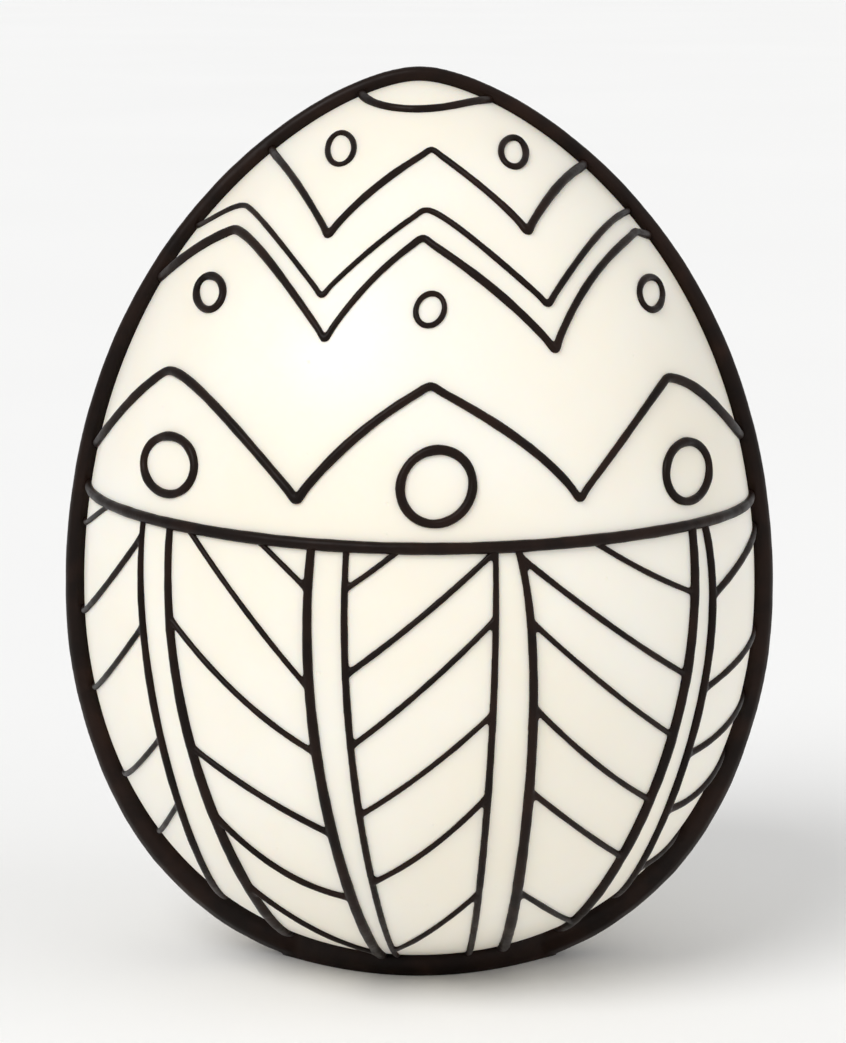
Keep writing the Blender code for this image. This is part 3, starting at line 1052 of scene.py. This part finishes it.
@dataclass
class Leaves(Piping):
    """The lower half's pairs of ribs, with leaning veins between them."""

    name: str = "leaves"
    seed: int = 7
    back: bool = False
    joining_swell: float = 0.22

    def side_of_panel(self, rib: Rib | None, seam_side: int, height: float) -> float:
        """Works out how far across a panel's side is at a height. Above the belt a rib runs on straight.

        Args:
            rib: The rib at that side, or None for the seam.
            seam_side: -1 for the left seam and 1 for the right one.
            height: The height.

        Returns:
            The distance across, in front view.
        """
        if rib is None:
            return seam_side * float(FORM.radius_at(height))
        across, heights, _ = self.pattern.bend(tuple(rib)).T
        if height > heights[0]:
            return across[0] + (height - heights[0]) * (across[1] - across[0]) / (heights[1] - heights[0])
        return float(np.interp(height, heights[::-1], across[::-1]))

    def beads(self) -> list[Bead]:
        """Pipes the ribs, and each panel's veins from their two end heights, sag and width.

        Returns:
            The beads of the ribs and the veins.
        """
        ribs = (
            Rib((-0.0404, 0.0747, 0.00086), (-0.0432, 0.0520, 0.00160), (-0.0297, 0.0109, 0.00135)),
            Rib((-0.0362, 0.0744, 0.00113), (-0.0390, 0.0431, 0.00190), (-0.0189, 0.0045, 0.00195)),
            Rib((-0.0153, 0.0735, 0.00125), (-0.0187, 0.0440, 0.00178), (-0.0053, 0.0032, 0.00170)),
            Rib((-0.0103, 0.0734, 0.00090), (-0.0123, 0.0437, 0.00132), (-0.0031, 0.0032, 0.00082)),
            Rib((0.0109, 0.0732, 0.00080), (0.0115, 0.0479, 0.00122), (0.0074, 0.0033, 0.00100)),
            Rib((0.0140, 0.0733, 0.00097), (0.0195, 0.0556, 0.00150), (0.0125, 0.0036, 0.00185)),
            Rib((0.0399, 0.0736, 0.00150), (0.0435, 0.0429, 0.00200), (0.0210, 0.0061, 0.00185)),
            Rib((0.0419, 0.0736, 0.00130), (0.0477, 0.0517, 0.00180), (0.0296, 0.0107, 0.00125)),
        )
        panels = (
            (
                None,
                ribs[0],
                (
                    (0.0695, 0.0791, -0.0011, 0.00080),
                    (0.0558, 0.0719, 0.0001, 0.00094),
                    (0.0439, 0.0588, 0.0, 0.00086),
                    (0.0305, 0.0420, 0.0001, 0.00080),
                    (0.0214, 0.0315, -0.0002, 0.00080),
                ),
            ),
            (
                ribs[1],
                ribs[2],
                (
                    (0.0838, 0.0670, -0.0004, 0.00078),
                    (0.0775, 0.0526, 0.0006, 0.00081),
                    (0.0608, 0.0429, 0.0016, 0.00090),
                    (0.0416, 0.0300, 0.0005, 0.00098),
                    (0.0310, 0.0189, 0.0023, 0.00106),
                    (0.0188, 0.0058, 0.0011, 0.00105),
                ),
            ),
            (
                ribs[3],
                ribs[4],
                (
                    (0.0673, 0.0856, 0.0010, 0.00078),
                    (0.0549, 0.0728, 0.0004, 0.00088),
                    (0.0442, 0.0631, 0.0005, 0.00083),
                    (0.0334, 0.0492, 0.0006, 0.00078),
                    (0.0219, 0.0365, 0.0011, 0.00084),
                    (0.0070, 0.0199, 0.0003, 0.00081),
                ),
            ),
            (
                ribs[5],
                ribs[6],
                (
                    (0.0847, 0.0637, 0.0012, 0.00081),
                    (0.0718, 0.0516, 0.0002, 0.00088),
                    (0.0626, 0.0425, 0.0002, 0.00078),
                    (0.0500, 0.0325, 0.0006, 0.00084),
                    (0.0370, 0.0231, -0.0001, 0.00089),
                    (0.0197, 0.0100, -0.0005, 0.00089),
                ),
            ),
            (
                ribs[7],
                None,
                (
                    (0.0624, 0.0687, 0.0002, 0.00118),
                    (0.0484, 0.0527, 0.0002, 0.00104),
                    (0.0385, 0.0425, 0.0007, 0.00110),
                    (0.0296, 0.0334, 0.0012, 0.00118),
                    (0.0191, 0.0212, 0.0005, 0.00110),
                ),
            ),
        )
        lines = [(self.pattern.onto_shell(self.pattern.bend(tuple(rib))), ()) for rib in ribs]
        joins = (Swell(0.0, self.joining_swell), Swell(1.0, self.joining_swell))
        for left_rib, right_rib, veins in panels:
            for left_height, right_height, sag, width in veins:
                left = (self.side_of_panel(left_rib, -1, left_height), left_height, width)
                right = (self.side_of_panel(right_rib, 1, right_height), right_height, width)
                pull = ((left[0] + right[0]) / 2, (left_height + right_height) / 2 - 2 * sag, width)
                path = self.pattern.onto_shell(self.pattern.bend((left, pull, right)))
                lines.append((path[path[:, 1] <= BELT.height_at(path[:, 0])], joins))
        found = []
        for path, swells in lines:
            path = FORM.spaced(path, self.pattern.station_step)
            if self.back:
                path = self.pattern.to_back(path)
            found.append(self.pattern.bead(path, swells=swells))
        return found


class Softbox(NamedTuple):
    """A large far light: a point that it shines from, the width of its disc in degrees, and its strength."""

    name: str
    place: tuple[float, float, float]
    spread: float
    strength: float


@dataclass(frozen=True)
class Studio:
    """A plain pale floor, soft lights and the camera at the photograph's angle."""

    elevation: float = 9.0
    lens: float = 135.0
    distance: float = 0.6062
    aim: tuple[float, float, float] = (0.00058, 0.0, 0.06914)
    floor_size: float = 60.0
    sky: float = 0.58
    lamps: tuple[Softbox, ...] = (
        Softbox("key", (-0.55, -0.70, 0.85), 34.0, 1.50),
        Softbox("fill", (0.80, -0.45, 0.60), 60.0, 0.45),
    )

    def camera(self) -> None:
        """Adds the camera and makes it the scene's own."""
        turn = math.radians(self.elevation)
        back_off = Vector((0, -math.cos(turn), math.sin(turn))) * self.distance
        bpy.ops.object.camera_add(
            location=Vector(self.aim) + back_off, rotation=(math.radians(90 - self.elevation), 0, 0)
        )
        camera = bpy.context.object
        camera.data.lens = self.lens
        camera.data.clip_end = self.floor_size * 2
        bpy.context.scene.camera = camera

    def light(self, softbox: Softbox) -> None:
        """Adds a light as a sun with a wide disc, so that the whole floor is lit evenly.

        Args:
            softbox: The light, which shines towards the origin.
        """
        rotation = (-Vector(softbox.place)).to_track_quat("-Z", "Y").to_euler()
        bpy.ops.object.light_add(type="SUN", location=softbox.place, rotation=rotation)
        lamp = bpy.context.object
        lamp.name = softbox.name
        lamp.data.angle = math.radians(softbox.spread)
        lamp.data.energy = softbox.strength

    def floor(self) -> None:
        """Adds the floor."""
        deselect_all()
        bpy.ops.mesh.primitive_plane_add(size=self.floor_size)
        floor = bpy.context.object
        floor.name = "floor"
        floor.data.materials.append(PaleFloor().material())

    def build(self) -> None:
        """Sets up the whole studio."""
        self.camera()
        self.floor()
        for softbox in self.lamps:
            self.light(softbox)
        world = bpy.data.worlds.new("soft_sky")
        world.use_nodes = True
        sky = world.node_tree.nodes["Background"]
        sky.inputs["Color"].default_value = (1.0, 1.0, 1.0, 1.0)
        sky.inputs["Strength"].default_value = self.sky
        bpy.context.scene.world = world
        bpy.context.scene.view_settings.view_transform = "Standard"


def main() -> None:
    """Builds the studio and the egg's pieces in order."""
    logging.basicConfig(level=logging.INFO, format="%(message)s")
    Studio().build()
    finishes = {Slot.WHITE: WhiteChocolate().material(), Slot.DARK: DarkChocolate().material()}
    pieces = (
        Shell(),
        Border(seed=2),
        Band(name="belt", seed=3, circle=BELT),
        Band(name="cap", seed=4, circle=CAP),
        Zigzags(),
        Rings(),
        Leaves(name="leaves_front", seed=7),
        Leaves(name="leaves_back", seed=8, back=True),
    )
    for piece in pieces:
        piece.place(finishes[piece.slot])


if __name__ == "__main__":
    main()
